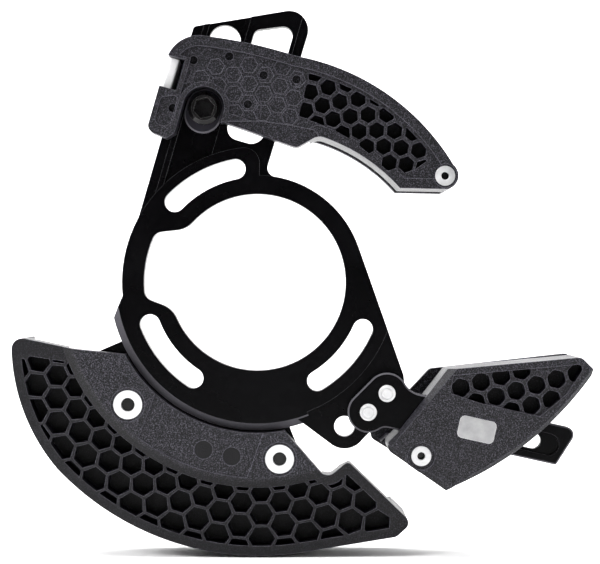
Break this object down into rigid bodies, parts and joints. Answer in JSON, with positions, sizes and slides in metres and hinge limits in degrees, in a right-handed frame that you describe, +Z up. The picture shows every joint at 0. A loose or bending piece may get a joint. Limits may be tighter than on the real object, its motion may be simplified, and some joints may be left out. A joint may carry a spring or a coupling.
{
  "type": "bicycle chain guide",
  "caption": "Bicycle chain guide: ring backplate with a height-adjustable upper slider and hinged gate, a lower slider on a slotted arm and a honeycomb-ribbed bash guard.",
  "frame": {"origin": "on the shell axis, in the pad face that meets the frame tabs", "axes": "+X to the rear of the bicycle, +Y away from the frame along the shell axis, +Z up"},
  "size_m": [0.1831, 0.0332, 0.1729],
  "materials": {
    "black_alloy": "black anodised, fine matte",
    "black_composite": "moulded, fine spark-eroded texture",
    "raw_alloy": "plain turned and milled",
    "bright_steel": "plain steel",
    "black_steel": "black oxide"
  },
  "bodies": {
    "plate": {"backplate": "black_alloy", "lower_arm": "black_alloy", "arm_rivets": "bright_steel", "bash_guard": "black_composite", "bash_bolts": "black_steel", "bash_t_nuts": "raw_alloy"},
    "upper_slider": {"upper_slider_body": "black_composite", "hinge_pin": "bright_steel", "gate_t_nut": "bright_steel", "height_bolt": "black_steel", "height_washer": "black_alloy", "height_nut": "raw_alloy"},
    "gate": {"upper_gate": "black_composite", "hinge_knuckle": "raw_alloy", "gate_screw": "black_steel"},
    "lower_slider": {"lower_slider_body": "black_composite", "lower_gate": "black_composite", "reach_bolt": "black_steel", "reach_nut": "raw_alloy", "lower_gate_screw": "black_steel", "lower_t_nut": "bright_steel"}
  },
  "joints": [
    {"name": "upper_slider_height", "type": "slide", "parent": "plate", "child": "upper_slider", "axis": [0.2773, 0, 0.9608], "range_m": [0, 0.02]},
    {"name": "gate_hinge", "type": "hinge", "parent": "upper_slider", "child": "gate", "pos_m": [-0.02768, -0.0002, 0.06602], "axis": [0.2773, 0, 0.9608], "range_deg": [0, 90]},
    {"name": "lower_slider_reach", "type": "slide", "parent": "plate", "child": "lower_slider", "axis": [0.9763, 0, -0.2164], "range_m": [0, 0.018]}
  ]
}
